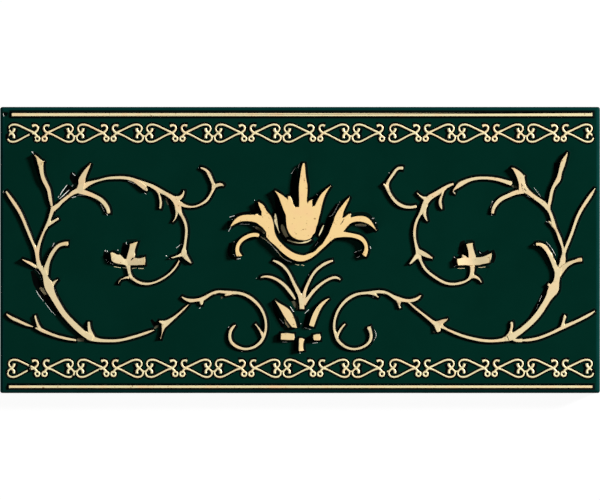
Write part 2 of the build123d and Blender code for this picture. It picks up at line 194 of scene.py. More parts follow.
def makeRimGlaze():
    material, nodes, links, shader = newMaterial("rimGlaze")
    place = objectPlace(nodes)
    glazed = cloudy(nodes, links, place, rimLook["drift"], rimLook["green"], rimLook["thin"])
    run = addNode(nodes, "ShaderNodeMath", operation="MULTIPLY_ADD")
    links.new(noise(nodes, links, place, rimLook["drift"]), run.inputs[0])
    run.inputs[1].default_value = -rimLook["wander"]
    links.new(heightOf(nodes, links, place), run.inputs[2])
    bare = addNode(nodes, "ShaderNodeMath", operation="LESS_THAN")
    links.new(run.outputs["Value"], bare.inputs[0])
    bare.inputs[1].default_value = rimLook["glazeEnds"] - rimLook["wander"] / 2
    colour = mixColours(nodes, links, bare.outputs["Value"], glazed, rimLook["biscuit"])
    links.new(colour, shader.inputs["Base Color"])
    shader.inputs["Roughness"].default_value = rimLook["roughness"]
    shader.inputs["Specular IOR Level"].default_value = rimLook["shine"]
    return material


# pooled glaze and painted shade: the near-black of the relief's sides, of the fillets at their feet, of the
# chain outlines and of the painted shadow sheets
pooledAndShadeLook = {
    "thick": (0.0001, 0.0005, 0.0004),
    "thin": (0.0002, 0.0014, 0.0010),
    "drift": {"scale": 300.0, "detail": 2.0, "from": 0.4, "to": 0.7},
    "roughness": 0.5,
    "shine": 0.05,
    "greenZ": 0.011 * mm,  # a pool is as green as the ground here, and dark where it is deeper: pooled glaze and painted shade
    "darkZ": 0.029 * mm,
}


def makePooledGlazeAndShade():
    material, nodes, links, shader = newMaterial("pooledGlazeAndShade")
    place = objectPlace(nodes)
    dark = cloudy(nodes, links, place, pooledAndShadeLook["drift"], pooledAndShadeLook["thick"], pooledAndShadeLook["thin"])
    depth = climb(nodes, links, place, pooledAndShadeLook["greenZ"], pooledAndShadeLook["darkZ"])
    colour = mixColours(nodes, links, depth, glazeLook["green"], dark)
    links.new(colour, shader.inputs["Base Color"])
    shader.inputs["Roughness"].default_value = pooledAndShadeLook["roughness"]
    shader.inputs["Specular IOR Level"].default_value = pooledAndShadeLook["shine"]
    return material


goldLook = {
    "line": (0.82, 0.71, 0.41),  # on the lines and chains
    "low": (0.75, 0.615, 0.36),  # on the vines, where it is rubbed paler
    "high": (0.88, 0.625, 0.28),  # on the palmette
    "lineZ": 0.60 * mm,
    "highZ": 1.75 * mm,
    "lowFrom": 0.18,  # shares of the way from lineZ to highZ
    "lowTo": 0.6,
    "rose": (0.90, 0.55, 0.29),
    "blush": {"scale": 180.0, "detail": 3.0, "from": 0.5, "to": 0.75},
    "noBlush": (0, 0, 0),
    "fullBlush": (0.55, 0.55, 0.55),
    "speck": (0.26, 0.11, 0.03),
    "pits": {"scale": 1100.0, "detail": 1.0, "from": 0.69, "to": 0.78},
    "noPit": (0, 0, 0),
    "fullPit": (0.8, 0.8, 0.8),
    "dimples": {"scale": 700.0, "detail": 2.0, "strength": 0.15, "depth": 0.05 * mm},
    "metal": 0.12,
    "roughness": 0.42,
}


def makeGold():
    material, nodes, links, shader = newMaterial("gilding")
    place = objectPlace(nodes)
    rise = climb(nodes, links, place, goldLook["lineZ"], goldLook["highZ"])
    leaf = ramp(nodes, links, rise, [
        (0.0, goldLook["line"]), (goldLook["lowFrom"], goldLook["low"]),
        (goldLook["lowTo"], goldLook["low"]), (1.0, goldLook["high"])])
    blush = cloudy(nodes, links, place, goldLook["blush"], goldLook["noBlush"], goldLook["fullBlush"])
    rosy = mixColours(nodes, links, blush, leaf, goldLook["rose"])
    pits = cloudy(nodes, links, place, goldLook["pits"], goldLook["noPit"], goldLook["fullPit"])
    pitted = mixColours(nodes, links, pits, rosy, goldLook["speck"])
    links.new(pitted, shader.inputs["Base Color"])
    shader.inputs["Metallic"].default_value = goldLook["metal"]
    shader.inputs["Roughness"].default_value = goldLook["roughness"]
    bumps(nodes, links, place, goldLook["dimples"], shader)
    return material


biscuitLook = {  # the unglazed back
    "dark": (0.62, 0.55, 0.45),
    "pale": (0.74, 0.68, 0.58),
    "grain": {"scale": 900.0, "detail": 4.0, "from": 0.3, "to": 0.7},
    "roughness": 0.85,
}
shadedGoldLook = {  # painted shade: gilding in the olive tone it has in shadow, its two tones drifting at random
    "thin": (0.055, 0.054, 0.028),
    "thick": (0.135, 0.115, 0.066),
    "grain": {"scale": 800.0, "detail": 2.0, "from": 0.38, "to": 0.62},
    "roughness": 0.55,
}
glintLook = {  # painted glints: pale streaks that stand in for highlights on the glaze
    "grey": (0.70, 0.72, 0.68),
    "white": (0.94, 0.94, 0.88),
    "grain": {"scale": 900.0, "detail": 1.0, "from": 0.35, "to": 0.65},
    "roughness": 0.3,
}


def makeGrained(name, look, first, second):
    material, nodes, links, shader = newMaterial(name)
    colour = cloudy(nodes, links, objectPlace(nodes), look["grain"], look[first], look[second])
    links.new(colour, shader.inputs["Base Color"])
    shader.inputs["Roughness"].default_value = look["roughness"]
    return material


glaze = makeGlaze()
pooledGlazeAndShade = makePooledGlazeAndShade()
gold = makeGold()
shadedGilding = makeGrained("shadedGilding", shadedGoldLook, "thin", "thick")
biscuit = makeGrained("biscuit", biscuitLook, "dark", "pale")
rimGlaze = makeRimGlaze()
paintedGlint = makeGrained("paintedGlints", glintLook, "grey", "white")
print("materials made")

tileLook = {
    "mergeWithin": 0.001 * mm,
    "lowRelief": 1.0 * mm,  # the side pulls leave what is lower alone
    "crestAbove": 0.3 * mm,
    "stepUnder": 1.0 * mm,  # a lower step from crest to crest is gilded
    "crestLevel": 0.9,  # upward part of a crest's normal
    "backUpTo": 0.75 * mm,
    "crestRound": 0.06 * mm,
    "lineRows": (114.6, 386.7),
    "lineTop": 0.7 * mm,
    "lineRound": 0.07 * mm,
    "outerLineRound": 0.24 * mm,  # the lines are rubbed back along their outer sides
    "roundSteps": 2,
    "topBelowBox": 0.01 * mm,  # keeps the crest just under the top of the part's box
    "smoothUnder": math.radians(35),
    # the fillet of pooled glaze and painted shade along the relief's feet
    "poolShadeRadius": 0.66 * mm,
    "poolShadeSides": 1,
    "shadeFlattened": 0.045,
}
pulls = {  # column, row and reach of a corner of the relief, and how far it is pulled in columns and rows
    "leftFlowerTopLeft": (130.4, 241.4, 4.5, -0.6, 2.4),
    "leftFlowerTopRight": (138.6, 244.0, 4.5, 0.6, -2.9),
    "leftFlowerRightTop": (143.8, 255.6, 4.5, 2.2, 0.1),
    "leftFlowerRightFoot": (147.6, 265.0, 4.0, -1.8, 0.3),
    "leftFlowerLeftTop": (121.4, 256.6, 4.0, -0.3, -2.5),
    "leftFlowerLeftEnd": (109.6, 257.3, 5.0, 1.2, 0.0),
    "rightFlowerTip": (488.2, 252.6, 4.5, 3.3, -0.9),
    "rightFlowerFoot": (494.2, 261.0, 5.5, -4.0, 1.3),
    "topLineEnd": (9.2, 114.6, 9.0, 1.5, 0.0),
    "rightLeafArmpit": (333.4, 237.6, 7.0, 1.6, 1.2),
    "rightLeafUnder": (327.4, 243.8, 6.0, 0.9, 0.9),
    "rightLeafTip": (351.2, 196.0, 4.0, -1.1, 1.1),
    "rightLeafKnob": (352.0, 211.7, 4.0, -1.0, 1.5),
    "rightLeafNotch": (351.5, 216.2, 3.5, 0.0, 2.8),
    "rightLeafCleft": (342.5, 218.2, 3.5, 1.2, -1.6),
    "cupRightCleft": (313.2, 203.8, 4.0, -0.7, 3.0),
    "cupRightKnob": (312.4, 197.4, 4.0, -0.4, 1.5),
    "cupInnerCleft": (307.3, 204.4, 4.0, 0.6, -2.6),
    "cupLeftKnob": (288.4, 194.4, 4.0, 0.0, 1.2),
    "leftLeafArmpit": (263.5, 225.2, 6.0, -1.2, 2.2),
    "leftLeafStem1": (269.0, 237.0, 6.0, -2.2, 0.9),
    "leftLeafStem2": (272.4, 242.3, 6.0, -1.2, 0.8),
    "leftLeafHorn": (268.9, 210.2, 7.0, -1.7, 0.3),
    "leftLeafCleft": (260.4, 212.5, 4.5, 1.0, 0.0),
    "leftLeafKnob": (255.6, 212.3, 3.0, -0.3, 1.4),
    "leftTendrilEnd": (240.8, 253.7, 3.5, 1.3, 2.0),
    "leftTendrilFoot": (237.2, 257.0, 3.0, -0.6, -1.2),
    "leftVine1": (57.5, 203.0, 10.0, 1.3, 1.9),
    "leftVine2": (66.0, 196.5, 8.0, 0.7, 1.1),
    "leftVineFork": (76.0, 184.5, 6.0, 2.0, 0.6),
    "leftBudKnob": (45.9, 160.1, 4.0, -0.9, 1.2),
    "rightVine": (550.6, 207.0, 8.0, -1.6, 0.3),
    "rightBudTip": (568.2, 151.6, 4.0, -1.2, 1.0),
    "rightForkTip": (510.9, 166.2, 4.0, 0.2, 1.3),
    "sprayCleft": (307.0, 294.7, 4.0, -1.4, 4.2),
    "footLeafLeftEnd": (291.6, 328.8, 4.0, 0.2, -1.6),
    "footLeafRightEnd": (296.8, 325.6, 3.5, 0.2, 1.7),
    "footLeafTip": (330.3, 297.4, 4.0, -1.0, 1.0),
}
sidePulls = {  # pulls of sides that have a low sliver of gilding beside them, which stays where it is
    "rightLeafStem1": (331.5, 221.2, 8.0, 1.9, 1.0),
    "rightLeafStem2": (327.6, 228.2, 8.0, 2.6, 1.4),
    "rightLeafStem3": (323.6, 235.3, 8.0, 2.8, 1.9),
    "rightLeafStem4": (318.4, 241.6, 8.0, 2.4, 2.5),
    "rightLeafStem5": (312.0, 247.6, 8.0, 1.8, 2.4),
    "rightLeafStem6": (304.8, 252.0, 8.0, 0.5, 1.2),
    "cupRight1": (320.3, 218.0, 8.0, -1.0, 0.0),
    "cupRight2": (318.4, 227.5, 8.0, -1.5, -0.3),
    "cupRight3": (313.6, 235.2, 4.0, -0.8, -0.7),
}

onGround, onSlope, onCrest, onBack, onSide = range(5)  # a face's finish, by its place in the tile's materials


def pullCorners(tile, corners, leftAlone):
    for column, row, reach, right, down in corners.values():
        x, y = onFace(column, row)
        for vertex in tile.data.vertices:
            away = math.hypot(vertex.co.x - x, vertex.co.y - y) / (reach * square)
            height = vertex.co.z - fieldZ
            if away < 1 and height > -hair and not hair < height < leftAlone:
                share = (1 - away * away) ** 2
                vertex.co.x += right * square * share
                vertex.co.y -= down * square * share


def finishOf(tile, face):
    middle = face.center.z - fieldZ
    heights = [tile.data.vertices[v].co.z - fieldZ for v in face.vertices]
    if min(heights) > tileLook["crestAbove"] and max(heights) - min(heights) < tileLook["stepUnder"]:
        return onCrest
    if middle > tileLook["crestAbove"] and face.normal.z > tileLook["crestLevel"]:
        return onCrest
    # the relief's sides take the near-black pooled glaze: pooled glaze and painted shade
    if middle > hair:
        return onSlope
    if face.center.z < tileLook["backUpTo"]:
        return onBack
    if min(heights) < -hair:
        return onSide  # with the rounded edge of the face
    return onGround


def pickEdges(tile, isWanted):
    bpy.ops.object.mode_set(mode="EDIT")
    bpy.ops.mesh.select_mode(type="EDGE")
    bpy.ops.mesh.select_all(action="DESELECT")
    bpy.ops.object.mode_set(mode="OBJECT")
    mesh = tile.data
    sides = {}
    for face in mesh.polygons:
        for key in face.edge_keys:
            sides.setdefault(key, []).append(face.material_index)
    for edge in mesh.edges:
        ends = [mesh.vertices[v].co for v in edge.vertices]
        edge.select = isWanted(sorted(sides[edge.key]), ends)
    bpy.ops.object.mode_set(mode="EDIT")


def roundEdges(tile, isWanted, width):
    pickEdges(tile, isWanted)
    bpy.ops.mesh.bevel(
        offset=width, segments=tileLook["roundSteps"], affect="EDGES", clamp_overlap=False, material=onSlope)
    bpy.ops.object.mode_set(mode="OBJECT")


def isLine(ends):
    return all(end.z - fieldZ < tileLook["lineTop"] for end in ends)


def isOuterLine(ends):
    upper, lower = (onFace(0, row)[1] for row in tileLook["lineRows"])
    return isLine(ends) and all(end.y > upper or end.y < lower for end in ends)


def isCrest(finishes, ends):
    return finishes == [onSlope, onCrest] and not isLine(ends)


def isLineCrest(finishes, ends):
    return finishes == [onSlope, onCrest] and isLine(ends) and not isOuterLine(ends)


def isOuterLineCrest(finishes, ends):
    return finishes == [onSlope, onCrest] and isOuterLine(ends)


def isFoot(finishes, ends):
    return finishes == [onGround, onSlope] and all(abs(end.z - fieldZ) < hair for end in ends)


def dropTags(thing):  # a copy carries the tags of what it was copied from
    for key in [k for k in thing.keys() if k.startswith("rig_")]:
        del thing[key]


def makeTile():
    pickOnly(cadTile)
    bpy.ops.object.duplicate()
    tile = bpy.context.object
    tile.name = "glazedTile"
    dropTags(tile)
    tile.parent = None
    tile.data.materials.clear()
    for material in (glaze, pooledGlazeAndShade, gold, biscuit, rimGlaze):
        tile.data.materials.append(material)
    pickOnly(tile)
    bpy.ops.mesh.customdata_custom_splitnormals_clear()
    bpy.ops.object.mode_set(mode="EDIT")
    bpy.ops.mesh.select_all(action="SELECT")
    bpy.ops.mesh.remove_doubles(threshold=tileLook["mergeWithin"])
    bpy.ops.object.mode_set(mode="OBJECT")
    pullCorners(tile, pulls, 0)
    pullCorners(tile, sidePulls, tileLook["lowRelief"])
    for face in tile.data.polygons:
        face.material_index = finishOf(tile, face)
    roundEdges(tile, isCrest, tileLook["crestRound"])
    roundEdges(tile, isLineCrest, tileLook["lineRound"])
    roundEdges(tile, isOuterLineCrest, tileLook["outerLineRound"])
    for vertex in tile.data.vertices:
        vertex.co.z = min(vertex.co.z, tileHigh.z - tileLook["topBelowBox"])
    bpy.ops.object.shade_smooth_by_angle(angle=tileLook["smoothUnder"])
    bpy.ops.object.modifier_add(type="WEIGHTED_NORMAL")
    tile.modifiers[-1].keep_sharp = True
    bpy.ops.object.modifier_apply(modifier=tile.modifiers[-1].name)
    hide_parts("border_tile")
    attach(tile, "root")
    return tile


# a flat dark fillet along the relief's feet: pooled glaze and painted shade
def makeShadedPool(tile):
    pickOnly(tile)
    pickEdges(tile, isFoot)
    bpy.ops.mesh.duplicate()
    bpy.ops.mesh.separate(type="SELECTED")
    bpy.ops.object.mode_set(mode="OBJECT")
    pool = [thing for thing in bpy.context.selected_objects if thing != tile][0]
    pool.name = "pooledShadeFillet"
    dropTags(pool)
    pickOnly(pool)
    bpy.ops.object.convert(target="CURVE")
    pool = bpy.context.object
    pool.data.bevel_depth = tileLook["poolShadeRadius"]
    pool.data.bevel_resolution = tileLook["poolShadeSides"]
    pool.data.fill_mode = "FULL"
    bpy.ops.object.convert(target="MESH")
    pool = bpy.context.object
    pool.data.transform(
        Matrix.Translation((0, 0, fieldZ)) @ Matrix.Diagonal((1, 1, tileLook["shadeFlattened"], 1))
        @ Matrix.Translation((0, 0, -fieldZ)))
    pool.data.materials.clear()
    pool.data.materials.append(pooledGlazeAndShade)
    bpy.ops.object.shade_smooth_by_angle(angle=tileLook["smoothUnder"])
    print("pool", len(pool.data.polygons), "faces")
    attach(pool, "root")


tile = makeTile()
makeShadedPool(tile)
print("tile made")

chain = {
    "upperRow": 133.1,
    "lowerRow": 367.9,
    # columns of the crossings, for hearts that point to the right and to the left
    "rightHearts": [34.3, 103.2, 172.0, 240.8, 309.4, 378.4, 414.8, 483.7, 552.6],
    "leftHearts": [48.1, 116.9, 185.7, 254.5, 323.2, 428.5, 497.4, 566.3],
    "strandRadius": 0.34 * mm,
    "strandSides": 2,
    "flattened": 0.5,  # a strand's height as a share of its width
    "outlineRadius": 1.0 * mm,  # dark glaze along a strand as its outline: pooled glaze and painted shade
    "outlineSides": 1,
    "outlineFlattened": 0.09,
    "steps": 3,  # from one point of a strand to the next
    "smoothUnder": math.radians(55),
    "upperStrand": [  # column and row from the crossing, and the share of the full width
        (-19.8, -4.6, 1.6), (-20.2, -2.4, 1.5), (-22.2, -0.6, 1.15), (-24.2, -2.0, 0.9), (-25.0, -4.6, 0.85),
        (-23.6, -7.2, 0.9), (-20.2, -8.3, 1.1), (-16, -7.7, 1.05), (-11, -5.5, 1), (-5, -2.6, 1),
        (0, 0, 1.3), (2.4, 2.4, 1.15), (3.9, 4.4, 1),
    ],
    "lowerStrand": [
        (-20.2, 5.2, 1.5), (-20.2, 2.6, 1.4), (-22.6, 0.7, 1.1), (-25.0, 2.2, 0.9), (-26.2, 5.0, 0.9),
        (-24.8, 7.8, 0.95), (-21.8, 8.9, 1.05), (-18.2, 8.5, 1), (-14.4, 6.8, 0.95), (-9.6, 4.2, 0.9),
        (-4.4, 1.6, 0.95), (0, 0, 1.3), (2.5, -1.7, 1.15), (3.9, -4.0, 1.1), (3.6, -6.3, 1.05),
        (1.3, -7.7, 1.1), (-1.6, -6.9, 1.5),
    ],
    "bridge": [(-24.9, 2.2, 1.0), (-26.4, 3.2, 0.95), (-27.8, 3.4, 0.9)],  # to the next heart
    "ring": {"column": 3.3, "row": 5.8, "radius": 2.25, "steps": 20, "sides": 10, "outlineSides": 6},
}
worn = {  # column, row and reach of the places where a chain's gilding has gone
    "upperLeftEnd1": (7.8, 129.6, 2.4),
    "upperLeftEnd2": (7.6, 133.2, 2.4),
    "upperLeftEnd3": (7.0, 136.8, 2.6),
    "upperFirstHeart": (31.6, 135.0, 1.8),
    "upperFirstRing": (34.6, 139.6, 1.5),
    "lowerFirstHeart1": (30.4, 364.9, 1.7),
    "lowerFirstHeart2": (30.0, 370.6, 2.0),
    "lowerSecondCurl": (73.6, 375.8, 1.2),
    "lowerThirdHeart": (100.4, 370.0, 1.1),
    "lowerFirstRing": (34.0, 375.6, 1.9),
    "upperRightEnd": (593.8, 136.4, 2.2),
    "lowerRightEnd": (593.6, 370.6, 2.6),
    "lowerLeftEnd": (7.2, 371.2, 1.4),
    "upperJoin": (387.4, 136.4, 1.6),
    "upperThirdRing": (104.0, 141.0, 1.0),
    "upperFifthRing": (173.0, 141.0, 1.0),
    "lowerThirdRing": (103.6, 375.6, 1.3),
    "upperSecondCurl": (67.6, 130.6, 0.8),
}


def makeStrand(points, radius, sides, flattened, material):
    bpy.ops.curve.primitive_bezier_curve_add()
    strand = bpy.context.object
    strand.data.splines.clear()
    spline = strand.data.splines.new("BEZIER")
    spline.bezier_points.add(len(points) - 1)
    for point, (column, row, width) in zip(spline.bezier_points, points):
        point.co = (column * square, -row * square, 0)
        point.radius = width
        point.handle_left_type = point.handle_right_type = "AUTO"
    spline.resolution_u = chain["steps"]
    strand.data.bevel_depth = radius
    strand.data.bevel_resolution = sides
    strand.data.use_fill_caps = True
    pickOnly(strand)
    bpy.ops.object.convert(target="MESH")
    return flatten(bpy.context.object, flattened, material)


def flatten(piece, flattened, material):
    piece.data.transform(Matrix.Diagonal((1, 1, flattened, 1)))
    piece.data.materials.clear()
    piece.data.materials.append(material)
    return piece


def makeRing(radius, sides, flattened, material):
    ring = chain["ring"]
    place = (ring["column"] * square, -ring["row"] * square, 0)
    bpy.ops.mesh.primitive_torus_add(
        location=place, major_radius=ring["radius"] * square, minor_radius=radius,
        major_segments=ring["steps"], minor_segments=sides)
    bpy.ops.object.transform_apply(location=True, rotation=True, scale=True)
    return flatten(bpy.context.object, flattened, material)


def makeHeart():
    ring = chain["ring"]
    giltRadius, giltFlattened = chain["strandRadius"], chain["flattened"]
    darkRadius, darkFlattened = chain["outlineRadius"], chain["outlineFlattened"]
    strands = []
    for points in (chain["upperStrand"], chain["lowerStrand"], chain["bridge"]):
        strands.append(makeStrand(points, giltRadius, chain["strandSides"], giltFlattened, gold))
        strands.append(makeStrand(points, darkRadius, chain["outlineSides"], darkFlattened, pooledGlazeAndShade))
    strands.append(makeRing(giltRadius, ring["sides"], giltFlattened, gold))
    strands.append(makeRing(darkRadius, ring["outlineSides"], darkFlattened, pooledGlazeAndShade))
    pickOnly(*strands)
    bpy.ops.object.join()
    bpy.ops.object.shade_smooth_by_angle(angle=chain["smoothUnder"])
    return bpy.context.object


def makeChain(name, heart, row):
    copies = []
    for columns, way in ((chain["rightHearts"], 1), (chain["leftHearts"], -1)):
        for column in columns:
            pickOnly(heart)
            bpy.ops.object.duplicate()
            copy = bpy.context.object
            x, y = onFace(column, row)
            copy.data.transform(Matrix.Translation((x, y, fieldZ)) @ Matrix.Diagonal((way, 1, 1, 1)))
            if way < 0:
                copy.data.flip_normals()
            copies.append(copy)
    pickOnly(*copies)
    bpy.ops.object.join()
    made = bpy.context.object
    made.name = name
    wearAway(made)
    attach(made, "root")


def wearAway(made):
    bare = made.data.materials.find(pooledGlazeAndShade.name)
    for column, row, reach in worn.values():
        x, y = onFace(column, row)
        for face in made.data.polygons:
            if math.hypot(face.center.x - x, face.center.y - y) < reach * square:
                face.material_index = bare


heart = makeHeart()
makeChain("upperHeartChain", heart, chain["upperRow"])
makeChain("lowerHeartChain", heart, chain["lowerRow"])
bpy.data.objects.remove(heart)
print("chains made")

patchLook = {
    "flattened": 0.12,  # height as a share of the width
    "shadeFlattened": 0.05,
    "sides": 1,
    "smoothUnder": math.radians(35),
}
gildingSpread = {  # columns, rows and widths of gilding spread over the ground beside a crest
    "besideCup": [(281.8, 224.6, 3), (283.6, 230, 5), (287.2, 237, 3.2)],
    "underLeftLeaf": [(255.4, 227.2, 2), (260, 229.6, 4), (265, 233, 2.6)],
    "besideFootLeaf": [(284.6, 318, 2), (286.6, 323, 3), (289, 327.4, 2)],
    "besideLeftTrunk": [(39.6, 286.4, 3), (42.8, 290, 5), (47.6, 297.4, 2.4)],
    "underRightLeaf": [(354.6, 225, 2), (359.6, 224.6, 2.6), (366.4, 225.2, 1.8)],
}
shadedGildingSpread = {  # the same for gilding painted in its shaded olive tone (painted shade)
    "sprayFoot": [(292.8, 300.6, 3), (295.4, 304.6, 4.6), (298, 309, 2.4)],
    "leftLowStem": [(77.4, 339.8, 3), (80.6, 339.4, 3.8), (84.6, 339.6, 3.4)],
    "underLeftArc": [(166, 197.8, 2), (167.4, 201, 2.6), (168.4, 205, 1.4)],
    "leftRunnerJoint": [(154.6, 328.2, 2), (158.6, 325.6, 2.6)],
    "underLeftScroll": [(221.4, 296.4, 2), (222.6, 298, 2.6)],
    "rightRunnerBarb": [(433.6, 331, 2), (434.8, 332.6, 2)],
    "rightArcEnd": [(511.6, 185.8, 2.2), (514.4, 187, 3), (517.4, 187.6, 2)],
    "leftLeafStem": [(264, 237.4, 2.4), (268, 240, 2.8), (271.6, 243, 1.8)],
}
seams = {  # the same for gilding over a joint of two crests
    "rightTrunkFoot": [(504.8, 338.9, 3.4), (508.2, 338.7, 4.2), (511.4, 337.9, 4.2)],
    "rightLowStem": [(511.8, 338.6, 2.6), (516.4, 340.3, 2.8), (521.8, 340.1, 3.2)],
}
paintedShadows = {  # the same for painted shadows: the widest dark sheets of glaze, laid where the relief's shadows fall
    "leftTrunk": [(32.6, 270.6, 5), (37.4, 283, 9), (45, 296, 8), (54.6, 309.5, 5), (62, 318, 3)],
    "leftFlowerEnd": [(105.5, 250.5, 4), (106.2, 256, 7), (110, 263.5, 6)],
    "leftFlowerPetal": [(124.8, 242.5, 5), (125.2, 247, 8), (124.5, 254, 9), (123.6, 258, 5)],
    "leftFlowerTop": [(127, 240.6, 3.4), (137.5, 239.6, 3)],
    "leftFlowerRight": [(139.6, 256.2, 4), (143.6, 255.6, 3.4)],
    "leftRunnerJoint": [(151.5, 319.5, 4), (156, 326, 6)],
    "leftScrollEnd": [(228.4, 327, 4), (228.6, 340, 4)],
    "leftBud": [(34.5, 155.6, 5), (37.4, 165, 7), (39.5, 176, 4)],
    "leftFork": [(73.4, 172.4, 6), (73.6, 177.6, 9), (75.8, 183, 7)],
    "sprayFoot": [(299.6, 310.8, 3), (304.6, 310.8, 3)],
    "leftVine": [(71, 186, 7), (65, 194, 6)],
    "leftArcBarb": [(168.6, 199.4, 4), (172.8, 214, 5)],
    "spear": [(294.6, 171, 6), (294, 186, 9), (294.6, 201, 8)],
    "cupLeft": [(275.3, 192, 5), (279, 211, 7), (283, 226, 6)],
    "leftLeafHorn": [(256, 201, 5), (257.4, 211, 6)],
    "leftLeafBack": [(230, 218, 4), (242, 213.4, 4), (254.8, 212.2, 4)],
    "leftLeafTip": [(228.7, 221, 4), (228.4, 229.5, 3)],
    "rightLeafStem": [(337, 204, 4), (330, 216, 6), (326, 227, 6), (319, 240.5, 5), (309, 249.4, 3)],
    "rightLeafBack": [(353, 213.6, 3.4), (366, 213.4, 3.6), (372.6, 218.6, 3.6), (378, 226.5, 3)],
    "rightTendrilEnd": [(354.5, 251.5, 5), (358.6, 256.6, 6)],
    "leftTendril": [(230.8, 243, 5), (230.6, 255, 6), (237, 259.6, 4)],
    "footLeafLeft": [(272.8, 300.5, 4), (276.6, 313, 6), (283, 326.5, 5)],
    "betweenFootLeaves": [(297, 316, 3.4), (299.5, 327, 4)],
    "footLeafRight": [(307.4, 313, 5), (305.6, 327, 6)],
    "leftBlock": [(277.8, 335, 4), (278.6, 341, 5)],
    "rightBlock": [(309.7, 337, 4), (310.6, 341, 5)],
    "peg": [(295.8, 341, 5), (295.2, 351, 5)],
    "rightBud": [(555.6, 163, 6), (556.4, 176, 6.4), (553, 184, 3)],
    "rightFork": [(510.7, 166, 4), (512.6, 170.5, 5)],
    "rightHookEnd": [(491.4, 207, 4), (491.4, 216.4, 4)],
    "rightHook": [(497.3, 199.4, 3.4), (513.5, 190.4, 3)],
    "rightFlowerPetal": [(464.6, 240.8, 3.5), (461.8, 243.5, 6), (461, 249, 7), (458.5, 254.5, 5)],
    "rightFlowerTop": [(466, 240.8, 3.4), (472.6, 240.6, 3.4)],
    "rightFlowerNotch": [(477.6, 250.6, 4), (482, 254.4, 6), (488.6, 251.2, 5)],
    "rightFlowerEnd": [(454.6, 255.8, 4), (453.8, 260.5, 6), (454.6, 265.6, 4)],
    "rightFlowerTip": [(492.6, 250, 4), (494, 256, 5), (492.4, 262.6, 4)],
    "rightFlowerFoot": [(457.4, 267.2, 3.4), (489.4, 267.2, 3.4)],
    "rightTrunk": [(547, 285, 5), (543, 296, 8), (535.4, 309, 7), (526, 322, 3)],
    "rightTrunkBarb": [(509, 328, 3.4), (508, 334, 4)],
    "rightRunnerBarb": [(438, 334.4, 3), (439, 331, 4)],
    "topLineEnd": [(2.6, 112.6, 3), (8, 114.8, 6)],
}


def surfaceAt(column, row):
    x, y = onFace(column, row)
    hit, place, *rest = tile.ray_cast((x, y, fleckLook["seenFrom"]), (0, 0, -1))
    return place


def groundHeight(patch):
    return fieldZ


def crestHeight(patch):
    return min(surfaceAt(column, row).z for column, row, width in (patch[0], patch[-1]))


def makePatches(name, patches, flattened, height, material):
    made = []
    for patch in patches.values():
        points = [(column - middleColumn, row - middleRow, width) for column, row, width in patch]
        spread = makeStrand(points, square / 2, patchLook["sides"], flattened, material)
        spread.data.transform(Matrix.Translation((0, 0, height(patch))))
        made.append(spread)
    pickOnly(*made)
    bpy.ops.object.join()
    joined = bpy.context.object
    joined.name = name
    bpy.ops.object.shade_smooth_by_angle(angle=patchLook["smoothUnder"])
    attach(joined, "root")


